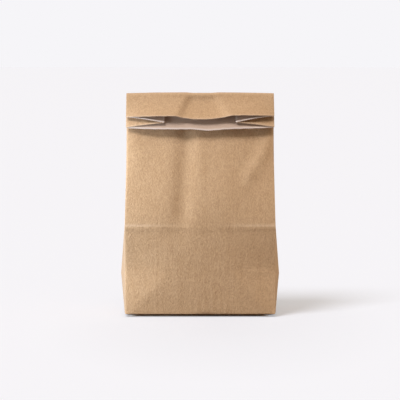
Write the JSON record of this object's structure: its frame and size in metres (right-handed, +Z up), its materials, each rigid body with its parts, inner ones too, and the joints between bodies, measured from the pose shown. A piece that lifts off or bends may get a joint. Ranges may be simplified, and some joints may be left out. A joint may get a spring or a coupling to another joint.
{
  "type": "paper food bag",
  "caption": "Standing brown paper food bag with a block bottom, gusseted sides and its top folded over once to the front.",
  "frame": {"origin": "middle of the base, on the plane that the bag stands on", "axes": "+Z up, -Y towards the front, where the top is folded down, +X to the right as seen from the front"},
  "size_m": [0.1614, 0.0802, 0.2223],
  "materials": {
    "kraft_paper": "matt uncoated kraft paper, white on the inside"
  },
  "bodies": {
    "root": {"paper_bag": "kraft_paper"}
  },
  "joints": []
}
